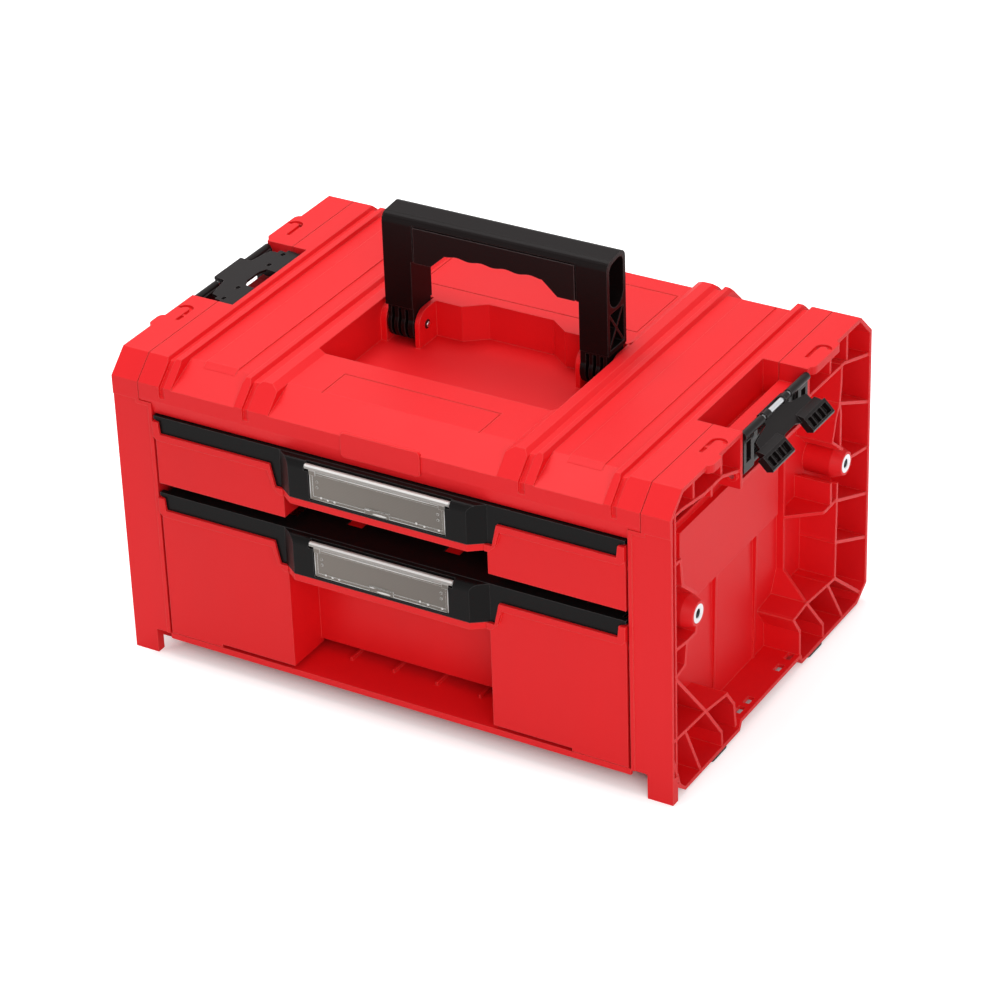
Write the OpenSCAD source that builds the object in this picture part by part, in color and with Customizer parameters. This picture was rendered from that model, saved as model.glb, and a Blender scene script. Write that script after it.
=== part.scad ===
// Portable tool box with two drawers, a folding top handle and a flip-over coupling latch on each side.
// X runs along the width, -Y is the drawer side, +Z is up. The box stands on Z = 0.

/* [Case] */
// Width over the two side frames
case_w = 450; // [430:5:500]
// Depth from the drawer fronts to the back
case_d = 310; // [300:5:340]
// Height from the floor to the top of the lid
case_h = 244; // [240:2:262]
// Height of the lid, from its top down to the lower edge of its fascia
lid_h = 39.5; // [36:0.5:44]
// Width of each front post
post_w = 32.5; // [30:0.5:36]
// Width of the foot under each post
foot_w = 20; // [14:1:26]
// Height of the foot under each post
foot_h = 20; // [18:0.5:22]
// Wall of the big mouldings
wall = 3; // [2.6:0.2:3.6]
// Thickness of the ribs on the sides
rib_t = 2.4; // [1.8:0.2:3]
// Play between two mouldings that meet
play = 0.3; // [0.2:0.05:0.5]

/* [Lid] */
// Depth of the handle tray in the lid
tray_depth = 28.5; // [27:0.5:30]
// Half width of the handle tray
tray_half = 97.5; // [96:0.5:99]
// How far the grooves and pads lie below the ridges
step_down = 3.4; // [2:0.2:4]
// Half length of the latch pockets
pocket_half = 50; // [49:0.5:54]

/* [Handle] */
// Width over the two legs of the handle
handle_w = 184; // [176:1:186]
// Depth of the handle bar, front to back
bar_d = 27; // [24:0.5:27.5]
// Height of the grip above the pivot
handle_reach = 90.5; // [84:0.5:92]
// Width of each leg
leg_w = 23; // [20:0.5:23]
// Radius of the steel pivot pins
handle_pin_r = 2.2; // [1.6:0.1:3]

/* [Latch] */
// Length of the flip plate from its rod to the claw tips
plate_reach = 32; // [28:0.5:34]
// Radius of the steel latch rod
rod_r = 2; // [1.5:0.1:2.4]
// Angle of the right flip plate below the horizontal, as it hangs open
open_angle = 45; // [30:1:55]
// Angle of the left flip plate below the horizontal, folded inwards
folded_angle = 6; // [2:1:9]

/* [Drawers] */
// Height of the upper drawer front, from its lower edge to its top strip
upper_front_h = 55.4; // [53:0.2:58]
// Distance from the top strip of the upper drawer down to that of the lower one
drawer_pitch = 63; // [60:0.5:65]
// Depth of the finger recess under each pull
recess_d = 36; // [20:1:44]
// How far each pull stands in front of the drawer
pull_out = 8.7; // [6:0.1:12]
// Wall of the drawer trays
tray_wall = 2.4; // [2:0.2:3]
// Width of the clear label window
window_w = 110; // [80:1:120]

/* [Fittings] */
// Outer radius of the steel sleeves in the side bosses
sleeve_r = 7; // [6:0.5:8]
// Bore radius of the steel sleeves
sleeve_bore_r = 3.3; // [2.6:0.1:4.2]
// Length of the steel sleeves
sleeve_len = 26; // [16:1:28]

/* [Hidden] */

$fn = 48;
eps = 0.01;
red = "#e8252c";
black = "#231f20";
steel = "#c9ccd0";
rubber = "#2a2422";
clear = [0.75, 0.75, 0.73, 0.5];

hw = case_w / 2;
hd = case_d / 2;

// Side silhouette: front and rear chamfers at the top, a smaller one at the rear foot
front_run = 17;
front_drop = 16;
rear_run = 18.5;
rear_drop = 18;
heel_run = 16;
heel_z = 13;
skid_z = 2.5;          // underside of the ribbed feet, where the rubber pads sit
arch_front = -53;      // arch between the feet on each side
arch_rear = 46;
arch_z = 8.5;
foot_d = 8;
toe_z = 11;

// Opening for the drawers, between the posts
open_half = hw - post_w;
web_out = open_half + wall;
floor_z = 20.5;
fascia_z = case_h - lid_h;
cap_z = fascia_z + 9;
seam_x = hw - 22.5;
ledge_z = cap_z - play;

// Latch axis, on the left mirrored
latch_x = hw - 0.5;
latch_z = case_h - 5;
shoulder_r = 3;
link_x = hw - 6;
link_z = case_h - 34;
link_pin_r = 2;
rod_fit = 0.06;
pocket_in = hw - 35;
shelf_in = seam_x + 0.5;
shelf_out = hw - 12;
shelf_z = case_h - 14;
well_z = link_z - 7;

// Hook-shaped grooves in the top skin and the ears beside them, at both ends of each latch pocket
hook_r = 6.4;
hook_w = 3.4;
hook_depth = 2.2;
hook_spots = [[hw - 7.6, -71], [hw - 3.8, 82]];
ear_out = 3.6;
ear_h = 6;
ear_span = [[-103, -85], [53, 97]];

// Handle pivot: the bar stands a little behind the pins, so the raised handle leans on its stop
pivot_y = 15.4;
pivot_z = case_h - 16.6;
bar_y0 = pivot_y - bar_d / 2 + 1.3;
bar_y1 = bar_y0 + bar_d;
bar_top = pivot_z + handle_reach;
leg_out = handle_w / 2;
leg_in = leg_out - leg_w;
ear_in0 = leg_in - 4.3;
ear_in1 = leg_in - 0.5;
tray_z = case_h - step_down - tray_depth;
tray_front = -hd + 77;

// Drawers
pull_top = fascia_z - 0.6;
upper_z = pull_top - upper_front_h;
lip_h = 5.2;
strip_h = 13.4;
pull_h = 31;
lip_out = 2.6;
front_half = open_half - 2;
recess_half = 86;
step_out = 92;
step_in = 88;
pull_wide = 84;
pull_half = 72;
lower_z = floor_z + 1;
belly = 6.5;           // how far the tray bottoms lie above the lower edge of the fronts
box_half = front_half - 9;
box_back = hd - 14;
travel_stop = 8;

// Bounds of the whole box at rest, for an origin at the middle of its foot
claw_hi = 1.3;
reach_right = latch_x + (plate_reach - 1) * cos(open_angle) + claw_hi * sin(open_angle);
reach_left = hw + ear_out;
reach_front = hd + pull_out;
shift = [(reach_right - reach_left) / 2, (hd - reach_front) / 2, 0];

// ---- helpers ----

module on_origin() translate(-shift) children();
module flip(side) if (side > 0) children(); else mirror([1, 0, 0]) children();
module both_sides() { children(); mirror([1, 0, 0]) children(); }

// Prism along X of an outline in Y and Z, along Y of one in X and Z, along Z of one in X and Y
module prism_x(x0, x1, outline)
    translate([x0, 0, 0]) rotate([90, 0, 90]) linear_extrude(x1 - x0) polygon(outline);
module prism_y(y0, y1, outline)
    translate([0, y1, 0]) rotate([90, 0, 0]) linear_extrude(y1 - y0) polygon(outline);
module prism_z(z0, z1, outline)
    translate([0, 0, z0]) linear_extrude(z1 - z0) polygon(outline);
module block(low, high) translate(low) cube(high - low);
module rod_x(x0, x1, y, z, r) translate([x0, y, z]) rotate([0, 90, 0]) cylinder(h = x1 - x0, r = r);
module rod_y(y0, y1, x, z, r) translate([x, y0, z]) rotate([-90, 0, 0]) cylinder(h = y1 - y0, r = r);
module rod_z(z0, z1, x, y, r) translate([x, y, z0]) cylinder(h = z1 - z0, r = r);

// Straight strip of thickness t between two points, a chain of them, and ribs of that outline from x0 out to x1
module strip(a, b, t = rib_t) {
    len = norm(b - a);
    turn = atan2(b[1] - a[1], b[0] - a[0]);
    translate(a) rotate(turn) translate([-t / 2, -t / 2]) square([len + t, t]);
}
module chain(points, t = rib_t)
    for (i = [0 : len(points) - 2]) strip(points[i], points[i + 1], t);
module ribs(x0, x1) translate([x0, 0, 0]) rotate([90, 0, 90]) linear_extrude(x1 - x0) children();

// Points of an arc, and a rectangle with round corners
function arc(c, r, a0, a1, n = 6) =
    [for (i = [0 : n]) let (a = a0 + (a1 - a0) * i / n) [c[0] + r * cos(a), c[1] + r * sin(a)]];
function round_box(low, high, r) = concat(
    arc([low[0] + r, low[1] + r], r, 180, 270), arc([high[0] - r, low[1] + r], r, 270, 360),
    arc([high[0] - r, high[1] - r], r, 0, 90), arc([low[0] + r, high[1] - r], r, 90, 180));
function mirrored(half) = concat(half, [for (i = [len(half) - 1 : -1 : 0]) [-half[i][0], half[i][1]]]);

// Upper part of the side silhouette, drawn in by d
function crown(d, z0) = let (k = d * 0.42) [
    [-hd + d, z0], [-hd + d, case_h - front_drop - k * 0.9], [-hd + front_run + k, case_h - d],
    [hd - rear_run - k, case_h - d], [hd - d, case_h - rear_drop - k], [hd - d, z0]];

// Whole side silhouette, drawn in by d
function side_view(d) = let (k = d * 0.42) [
    [-hd + d, toe_z + d], [-hd + foot_d + d * 0.6, toe_z + d], [-hd + 19, skid_z + d],
    [arch_front - k, skid_z + d], [arch_front + 3 - k, arch_z + d], [arch_rear - 3 + k, arch_z + d],
    [arch_rear + k, skid_z + d], [hd - heel_run - k, skid_z + d], [hd - d, heel_z + k],
    [hd - d, case_h - rear_drop - k], [hd - rear_run - k, case_h - d],
    [-hd + front_run + k, case_h - d], [-hd + d, case_h - front_drop - k * 0.9]];

// ---- side frames ----

boss_y = 115.5;
boss_z = 135;
boss_r = sleeve_r + 2.6;
band_front_z = case_h - 16.2;
band_rear_z = case_h - 24;
rib_out = hw - 0.6;

// Rib pattern of the ribbed side, as chains of points in Y and Z
node_front = [-104, 48.5];
node_rear = [54.5, 49];
module rib_pattern() {
    front = -hd + wall;
    post = front + 5;
    rear = hd - wall;
    // front lower corner
    chain([[front + 6, 98], node_front, [-80, 17], [-79, skid_z + 2]]);
    chain([[front, 51], node_front, [-72, 44], [-61, 29.5], [-58.5, arch_z + 2]]);
    chain([[-134, 49], [-112, skid_z + 2]]);
    chain([[front, 36], [-143, toe_z]]);
    // rear lower corner
    chain([node_rear, [82, 16], [82.5, skid_z + 2]]);
    chain([[101, 45], node_rear, [33, 46.5], [43.5, 31.5], [44, arch_z + 2]]);
    chain([[89, 46], [115, skid_z + 2]]);
    chain([[101, 45], [145, heel_z - 4]]);
    chain([[92, boss_z - 6], [92, 112]]);
    // rear column and its cross ribs
    chain([[107, band_rear_z], [106.5, case_h - 39], [104.2, case_h - 54], [106.6, case_h - 63],
        [106.6, boss_z + 17]]);
    chain([[104.2, case_h - 54], [98.5, case_h - 65], [93.5, boss_z + 28], [110, boss_z + 14.5]], rib_t * 0.8);
    chain([[102.5, boss_z - 11], [101, 45]]);
    chain([[104.2, case_h - 54], [rear, case_h - 76]]);
    chain([[118, 137], [rear, 130]]);
    chain([[101, 111], [rear, 91]]);
    chain([[101, 76], [rear, 53.5]]);
    // front column round the boss
    chain([[post, band_front_z], [post - 0.5, 12]], rib_t * 0.8);
    chain([[post, case_h - 53.5], [-139.5, case_h - 54.5], [-137, boss_z + 34], [-118, boss_z + 17.5]]);
    chain([[post, boss_z - 12], [-131, boss_z - 14], [-118, boss_z - 14], [-117, boss_z - 8]]);
    chain([[-131, 121], [-134, 104], [post, 101]]);
}
module side_ribs() {
    x0 = web_out - eps;
    ribs(x0, rib_out) rib_pattern();
    for (z = [142, 164, 184, 210, 74])
        ribs(x0, rib_out - 2) strip([-hd + wall, z], [-hd + wall + 5, z], rib_t * 0.8);
    // slim upright rib behind the panel, which flares out to the full depth at its foot
    block([x0, 62, 66], [web_out + panel_out + 0.8, 62 + rib_t, ledge_z - 2]);
    intersection() {
        ribs(x0, rib_out - 0.3) strip([63.2, 67], node_rear);
        prism_y(40, 80, [[x0, 40], [rib_out, 40], [rib_out, node_rear[1]], [web_out + panel_out + 0.8, 67],
            [web_out + panel_out + 0.8, 70], [x0, 70]]);
    }
    // shelf between that rib and the rear column, drawn in at its front
    prism_z(110, 110 + rib_t, [[x0, 62], [web_out + panel_out + 0.8, 62], [rib_out - 0.3, 81],
        [rib_out - 0.3, 101], [x0, 101]]);
}

// Top band: a second line under the edge, with short cross ribs between
module top_band() {
    x0 = seam_x + wall;
    ribs(x0, rib_out - 0.2) {
        chain([[-hd + 4, band_front_z], [-138, band_front_z], [-104, band_front_z - 4.8],
            [-78.3, band_front_z - 4.8], [-pocket_half - wall, case_h - 29.5]]);
        chain([[pocket_half + wall, band_rear_z], [112, band_rear_z - 1], [hd - 3, band_rear_z - 13]]);
    }
    for (y = [-118.7, -78.3])
        ribs(x0, rib_out - 1) strip([y, band_front_z - 4], [y, case_h - 2]);
    ribs(web_out - eps, rib_out - 1) strip([-92.7, band_front_z - 12], [-92.7, band_front_z - 5]);
    for (y = [90, 117]) ribs(x0, rib_out - 1) strip([y, band_rear_z - 1], [y, case_h - 2]);
}

// End walls of the latch pocket, with an eye for the link pin
module pocket_ends() {
    for (s = [-1, 1]) scale([1, s, 1]) {
        block([seam_x + play, pocket_half, well_z - wall], [hw, pocket_half + wall, case_h]);
        rod_y(pocket_half, pocket_half + wall + 2, link_x, link_z, link_pin_r + 2.2);
    }
}

panel_y = [-96, 54];
panel_z = [boss_z - 17, ledge_z - 32.2];
panel_out = 5;
module side_shell() {
    // web behind the ribs, with its bare raised panel and two slim upright ribs under it
    difference() {
        union() {
            prism_x(open_half, web_out, side_view(0));
            prism_x(web_out - eps, web_out + panel_out, [[panel_y[0], panel_z[1]],
                [panel_y[0], panel_z[0] + 24], [panel_y[0] + 4, panel_z[0] + 20],
                [panel_y[0] + 24, panel_z[0]], [panel_y[1], panel_z[0]], [panel_y[1], panel_z[1]]]);
            for (y = [-38, 25]) prism_y(y - 1.2, y + 1.2, [[web_out - eps, arch_z + 1],
                [web_out + 1, arch_z + 1], [web_out + panel_out - 1.5, panel_z[0] + 1], [web_out - eps, panel_z[0] + 1]]);
        }
        block([open_half - eps, -hd - 1, cap_z - play - 3], [web_out + panel_out + 1, hd + 1, case_h + 1]);
    }
    // ledge that the lid rests on, and the upright wall beside the lid
    difference() {
        union() {
            intersection() {
                block([open_half, -hd, ledge_z - 3], [seam_x + wall, hd, ledge_z]);
                prism_x(open_half, seam_x + wall, side_view(0));
            }
            prism_x(seam_x + play, seam_x + wall, crown(0, ledge_z - 3));
        }
        block([open_half - 1, -pocket_half, shelf_z], [hw + 6, pocket_half, case_h + 1]);
    }
}

module side_rim() {
    difference() {
        union() {
            difference() {
                prism_x(open_half, hw, side_view(0));
                prism_x(web_out - eps, hw + eps, side_view(wall));
                block([open_half - eps, -hd - 1, ledge_z], [seam_x + play, hd + 1, case_h + 1]);
            }
            // front post, its foot and the cap on top
            block([open_half, -hd, foot_h], [hw, -hd + wall, case_h - front_drop]);
            block([hw - foot_w, -hd, 0], [hw, -hd + foot_d, foot_h + 1]);
            for (span = ear_span) hand_ear(span);
        }
        block([open_half - 1, -hd - 1, ledge_z], [seam_x + play, -hd + wall + 1, case_h]);
        // inner corner of the post stays open under the drawers
        block([open_half - 1, -hd - 1, -1], [hw - foot_w, -hd + foot_d + 12, foot_h]);
        // the post face lies a little behind the cap
        block([open_half - 1, -hd - 1, -1], [hw + 1, -hd + 0.7, cap_z]);
        block([seam_x - 1, -pocket_half, shelf_z], [hw + 6, pocket_half, case_h + 1]);
        block([shelf_out, -pocket_half, well_z], [hw + 6, pocket_half, case_h + 1]);
        for (spot = hook_spots) hook_groove(spot);
    }
}

// Ear that stands out of the side along the edge of the top skin, rounded at both ends
module hand_ear(span) {
    r = ear_out + 1.4;
    prism_z(case_h - ear_h, case_h, concat([[hw - 4, span[0]]],
        arc([hw + ear_out - r, span[0] + r], r, -90, 0, 4),
        arc([hw + ear_out - r, span[1] - r], r, 0, 90, 4), [[hw - 4, span[1]]]));
}

// Hook-shaped groove in the top skin: a straight leg, a half turn and a short end
module hook_groove(spot) {
    in_r = hook_r - hook_w;
    low = case_h - hook_depth;
    top = case_h + 1;
    translate([spot[0], spot[1], 0]) difference() {
        union() {
            rod_z(low, top, 0, 0, hook_r);
            block([-hook_r, -17, low], [-in_r, 0, top]);
        }
        rod_z(low - 1, top + 1, 0, 0, in_r);
        block([-in_r, -20, low - 1], [hook_r + 1, 0, top + 1]);
    }
    // bean-shaped hole under the curl of the rear groove
    if (spot[1] > 0) translate([spot[0], spot[1], 0]) difference() {
        rod_z(case_h - 6, top, 0, 0, hook_r - 0.5);
        rod_z(case_h - 7, top + 1, 0, 0, in_r + 0.4);
        block([-hook_r - 1, -hook_r - 1, case_h - 7], [hook_r + 1, 1.6, top + 1]);
        block([1.5, -1, case_h - 7], [hook_r + 1, hook_r + 1, top + 1]);
    }
}

module side_frame() {
    color(red) difference() {
        union() {
            side_shell();
            side_rim();
            difference() {
                intersection() {
                    union() {
                        side_ribs();
                        top_band();
                    }
                    prism_x(open_half, hw, side_view(0.2));
                }
                block([open_half - 1, -hd - 1, ledge_z], [seam_x + play, hd + 1, case_h + 1]);
            }
            intersection() {
                pocket_ends();
                prism_x(open_half, hw, crown(0, 100));
            }
            // shelf and well of the latch pocket
            block([seam_x + play, -pocket_half, shelf_z - wall], [shelf_out, pocket_half, shelf_z]);
            block([shelf_out - wall, -pocket_half, well_z - wall], [shelf_out, pocket_half, shelf_z]);
            block([seam_x + play, -pocket_half, well_z - wall], [hw - 3, pocket_half, well_z]);
            for (y = [-boss_y, boss_y]) {
                rod_x(web_out - 1, hw - 8, y, boss_z, boss_r + 2.6);
                translate([hw - 8 - eps, y, boss_z]) rotate([0, 90, 0])
                    cylinder(h = 8, r1 = boss_r + 2.6, r2 = boss_r - 0.8);
            }
            side_runners();
            side_screw_bosses();
        }
        for (y = [-boss_y, boss_y]) rod_x(hw - sleeve_len, hw + 1, y, boss_z, sleeve_r + 0.05);
        // bores for the link pins, open to the outside of the end walls
        for (s = [-1, 1])
            rod_y(s > 0 ? pocket_half - 1 : -pocket_half - 6, s > 0 ? pocket_half + 6 : -pocket_half + 1,
                link_x, link_z, link_pin_r + 0.05);
        // slots in the arch floor, where the claws of a box below catch
        for (y = [-41, -27, 21, 38])
            block([hw - 9, y - 4.5, arch_z - 1], [hw - 4, y + 4.5, arch_z + wall + 3]);
        // slot through the web above the panel
        block([open_half - 1, panel_y[0] + 4, panel_z[1] + 5], [web_out + 1, 5, panel_z[1] + 14]);
        for (p = cover_screw_spots()) {
            rod_z(ledge_z - 4, ledge_z + 1, p[0], p[1], screw_r + 0.2);
            rod_z(ledge_z - 11, ledge_z - 3, p[0], p[1], screw_head_r + 0.4);
        }
        for (p = base_screw_spots()) rod_z(floor_z - wall - 1, floor_z + 9, p[0], p[1], screw_r + 0.2);
        // inner corner of the post stays open in front of the floor
        block([open_half - 1, -hd - 1, -1], [hw - foot_w, -hd + foot_d + 14, foot_h]);
    }
}

// Runners for the drawer flanges, on the inner face of the web
runner_h = 3;
runner_in = 6;
flange_h = 3;
module side_runners() {
    for (z = [runner_z(pull_top), runner_z(pull_top - drawer_pitch)]) {
        block([open_half - runner_in, -hd + 6, z - runner_h], [open_half + eps, box_back + 4, z]);
        block([open_half - runner_in, -hd + 6, z + flange_h + 2 * play],
            [open_half + eps, box_back + 4, z + flange_h + 2 * play + 2]);
    }
}
function runner_z(top) = top - strip_h - lip_h - 6;

// Screws: up through the side frame into the lid, and up through the floor into the side frame
screw_r = 1.8;
screw_head_r = 3.6;
screw_head_h = 2.2;
base_screw_len = 9;
cover_screw_len = 12;
screw_side_x = open_half - 7;
function cover_screw_spots() = [for (y = [-124, 84, 128]) [open_half + 5.5, y]];
function base_screw_spots() = [for (y = [-110, 0, 110]) [screw_side_x, y]];
module side_screw_bosses() {
    for (p = base_screw_spots())
        block([p[0] - 5, p[1] - 6, floor_z + play / 2], [open_half + eps, p[1] + 6, floor_z + 7]);
}
module screw(length) {
    translate([0, 0, -0.5]) cylinder(h = length + 0.5, r = screw_r);
    translate([0, 0, -screw_head_h]) difference() {
        cylinder(h = screw_head_h, r = screw_head_r);
        translate([0, 0, -eps]) cylinder(h = 1.3, r = 1.6, $fn = 6);
    }
}

// ---- lid ----

// Lowered fields of the lid in X, each with the widths of its inner and outer flank
centre_x = 92;
groove_a = [109, 114];
pad_x = [121, 174];
groove_c = [180, 184.5];
band_x = [134, 161];

// Floor of the wide fields and of the grooves, seen from the side
function lowered(d) = [
    [-hd - 1, case_h - front_drop - 0.6], [-hd, case_h - front_drop - 0.6], [-hd + front_run + 11, case_h - d],
    [hd - rear_run - 6, case_h - d], [hd, case_h - rear_drop - 0.6], [hd + 1, case_h - rear_drop - 0.6],
    [hd + 1, case_h + 1], [-hd - 1, case_h + 1]];
function groove_path(d) = [
    [-hd - 1, cap_z + 5.5], [-hd + 0.4, cap_z + 5.5], [-hd + 2.2, cap_z + 7.5],
    [-hd + 2.2, case_h - front_drop - 1.4], [-hd + front_run + 1.4, case_h - d],
    [hd - rear_run - 1.4, case_h - d], [hd - 2.2, case_h - rear_drop - 1.4], [hd - 2.2, cap_z + 5.5],
    [hd + 1, cap_z + 5.5], [hd + 1, case_h + 1], [-hd - 1, case_h + 1]];

// Underside of the lid skin, which follows the lowered fields
function lid_inside(z0) = let (t = wall * 1.1) [
    [-hd + wall, z0], [-hd + wall, case_h - front_drop - 0.6 - t + wall * 0.4],
    [-hd + front_run + 11, case_h - step_down - t], [hd - rear_run - 6, case_h - step_down - t],
    [hd - wall, case_h - rear_drop - 0.6 - t + wall * 0.4], [hd - wall, z0]];

// One field: its floor between x0 and x1, and flanks that rise over f0 and f1 to the ridges
module field(x0, x1, f0, f1, path) {
    low = case_h - step_down;
    top = case_h + 0.1;
    intersection() {
        prism_x(x0 - f0, x1 + f1, path);
        prism_y(-hd - 2, hd + 2, [[x0, 0], [x1, 0], [x1, low], [x1 + f1, top], [x0 - f0, top], [x0, low]]);
    }
}
module lid_relief() {
    field(-centre_x, centre_x, 6, 6, lowered(step_down));
    both_sides() {
        field(groove_a[0], groove_a[1], 3.5, 2, groove_path(step_down - 0.2));
        field(pad_x[0], pad_x[1], 1.5, 0.6, lowered(step_down + 0.2));
        field(groove_c[0], groove_c[1], 1.2, 1.5, groove_path(step_down - 0.4));
    }
}

// Tray outline in plan: legs' slots at the rear corners, a stepped wall between them
function tray_plan(d) = mirrored([
    [tray_half + d, tray_front - d], [tray_half + d, bar_y1 + 1.6 + d], [ear_in0 + 3, bar_y1 + 1.6 + d],
    [ear_in0 + 3, bar_y1 - 2 + d], [43 + d * 0.4, bar_y1 - 2 + d], [27 + d * 0.4, bar_y1 + 10 + d]]);

module handle_ears() {
    r = 12;
    y0 = pivot_y - 11.5;
    top = case_h - step_down;
    outline = concat([[bar_y1 + 4, top], [bar_y1 + 4, tray_z - 1], [y0, tray_z - 1]],
        arc([y0 + r, top - r], r, 180, 90));
    difference() {
        both_sides() {
            prism_x(ear_in0, ear_in1, outline);
            prism_x(leg_out + 0.6, tray_half + 1, outline);
        }
        rod_x(-tray_half - 8, tray_half + 8, pivot_y, pivot_z, handle_pin_r + 0.02);
    }
}

module logo_frame(low, high, z, t = 1.2) {
    difference() {
        block([low[0], low[1], z - 0.6], [high[0], high[1], z + 1]);
        block([low[0] + t, low[1] + t, z - 2], [high[0] - t, high[1] - t, z + 2]);
    }
}

module lid_skin() {
    difference() {
        prism_x(-seam_x + play, seam_x - play, crown(0, fascia_z));
        prism_x(-seam_x + play + wall, seam_x - play - wall, lid_inside(fascia_z - 1));
        // the fascia leans in towards its lower edge
        prism_x(-seam_x - 1, seam_x + 1, [[-hd - 1, fascia_z - 1], [-hd + 3, fascia_z - 1],
            [-hd, cap_z + 2.5], [-hd - 1, cap_z + 2.5]]);
        both_sides() block([open_half - play, -hd - 1, fascia_z - 1], [hw, hd + 1, cap_z]);
        block([-hw, hd - wall, fascia_z - 1], [hw, hd + 1, cap_z]);
        lid_relief();
    }
}

module lid_pockets() {
    both_sides() {
        block([pocket_in - wall, -pocket_half - wall, cap_z], [pocket_in, pocket_half + wall, case_h - step_down]);
        for (s = [-1, 1]) translate([0, s * (pocket_half + wall / 2), 0])
            block([pocket_in - wall, -wall / 2, cap_z], [seam_x - play, wall / 2, case_h - step_down]);
        block([pocket_in - wall, -pocket_half - wall, cap_z],
            [seam_x - play, pocket_half + wall, cap_z + wall]);
    }
}

module top_cover() {
    color(red) difference() {
        union() {
            lid_skin();
            difference() {
                prism_z(tray_z - wall, case_h - step_down - 1, tray_plan(wall));
                prism_z(tray_z, case_h + 1, tray_plan(0));
            }
            lid_pockets();
            // screw bosses and stiffening ribs under the lid
            both_sides() for (p = cover_screw_spots())
                rod_z(cap_z, case_h - step_down - wall, p[0] - 1.2, p[1], 5);
            for (y = [-108, 66, 104]) both_sides()
                block([tray_half + 6, y - 1, case_h - 22], [pocket_in - 6, y + 1, case_h - step_down - wall]);
            both_sides() for (x = [118, 150]) block([x - 1, -hd + front_run + 13, case_h - 20],
                [x + 1, hd - rear_run - 8, case_h - step_down - wall]);
            // shallow bands on the pads
            both_sides() prism_x(band_x[0], band_x[1], [[-hd + front_run + 6, case_h - step_down - 2.4],
                [-hd + front_run + 11.5, case_h - step_down + 0.7], [hd - rear_run - 8, case_h - step_down + 0.7],
                [hd - rear_run - 5, case_h - step_down - 1]]);
        }
        prism_z(tray_z, case_h + 1, tray_plan(0));
        both_sides() {
            block([pocket_in, -pocket_half, cap_z + wall], [hw, pocket_half, case_h + 1]);
            for (p = cover_screw_spots()) rod_z(cap_z - 1, cap_z + 12, p[0], p[1], screw_r + 0.1);
        }
        badge_seat(play / 2);
        logo_frame([-64, tray_front - 52], [64, tray_front - 19], case_h - step_down);
        logo_frame([-90, 50], [90, 114], case_h - step_down);
        rod_x(-tray_half - 8, tray_half + 8, pivot_y, pivot_z, handle_pin_r + 0.02);
    }
    color(red) handle_ears();
}

// Bare plaque on the fascia
badge_half = 32;
badge_z = [fascia_z + 7, fascia_z + 26];
badge_y = -hd + 1.4;
function badge_outline(d) =
    round_box([-badge_half - d, badge_z[0] - d], [badge_half + d, badge_z[1] + d], 3);
module badge_seat(d) prism_y(-hd - 2, badge_y, badge_outline(d));
module badge_plate() color(red) prism_y(-hd - 1.1, badge_y, badge_outline(0));

// ---- floor and back ----

module base_floor() {
    half = open_half - play;
    front = -hd + 0.8;
    rear = hd - wall - play;
    color(red) difference() {
        union() {
            block([-half, front, floor_z - wall], [half, rear, floor_z]);
            block([-half, front, floor_z - wall - 2], [half, front + 2.4, floor_z]);
            for (x = [-144 : 48 : 144])
                block([x - 1, front + 24, floor_z - wall - 6], [x + 1, rear - 2, floor_z - wall + eps]);
            for (y = [-100 : 50 : 100])
                block([-half + 14, y - 1, floor_z - wall - 6], [half - 14, y + 1, floor_z - wall + eps]);
            // low ribs on top, under the sunken middle of the lower drawer
            for (x = [-54 : 36 : 54])
                block([x - 1, -hd + recess_d - 6, floor_z - eps], [x + 1, -hd + recess_d + 34, floor_z + 2.2]);
        }
        both_sides() for (p = base_screw_spots())
            rod_z(floor_z - wall - 10, floor_z + 1, p[0], p[1], screw_r + 0.2);
    }
}

module back_panel() {
    half = open_half - play;
    y0 = hd - wall;
    top = cap_z - play;
    color(red) difference() {
        union() {
            block([-half, y0, heel_z + 1], [half, hd, top]);
            for (x = [-168 : 56 : 168]) block([x - 1.2, y0 - 5, floor_z + 2], [x + 1.2, y0 + eps, top - 4]);
            block([-half, y0 - 7, top - 5], [half, y0 + eps, top - 2.5]);
        }
        // sunken fields between upright bands on the outside
        for (i = [-2 : 2]) prism_y(hd - 1.2, hd + 1, round_box([i * 74 - 31, floor_z + 23.5],
            [i * 74 + 31, top - 21.2], 5));
    }
}

// ---- sleeves, feet, screws ----

module sleeves() {
    color(steel) for (y = [-boss_y, boss_y]) difference() {
        rod_x(hw - sleeve_len, hw, y, boss_z, sleeve_r);
        rod_x(hw - sleeve_len - 1, hw + 1, y, boss_z, sleeve_bore_r);
        translate([hw - 0.6, y, boss_z]) rotate([0, 90, 0])
            cylinder(h = 0.7, r1 = sleeve_bore_r, r2 = sleeve_bore_r + 0.8);
    }
}

pad_w = 16;
pad_len = 24;
pad_y = [-83, 70];
module rubber_feet() {
    color(rubber) both_sides() for (y = pad_y)
        prism_z(0, skid_z, round_box([hw - pad_w - 0.4, y - pad_len / 2], [hw - 0.4, y + pad_len / 2], 3));
}
module pad_seats() {
    for (y = pad_y) block([hw - pad_w - 7, y - pad_len / 2 - 3, skid_z], [hw - 1, y + pad_len / 2 + 3, skid_z + wall]);
}

module base_screws() {
    color(steel) both_sides() for (p = base_screw_spots())
        translate([p[0], p[1], floor_z - wall]) screw(base_screw_len);
}
module cover_screws() {
    color(steel) both_sides() for (p = cover_screw_spots())
        translate([p[0], p[1], ledge_z - 3]) screw(cover_screw_len);
}

// ---- handle ----

grip_z0 = bar_top - 36;
grip_z1 = bar_top - 8;
grip_half = 66;
arch_half = 40;
arch_top = bar_top - 24.5;
waves = 4;
wave_h = 0.7;
core_in = 3.2;

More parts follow.
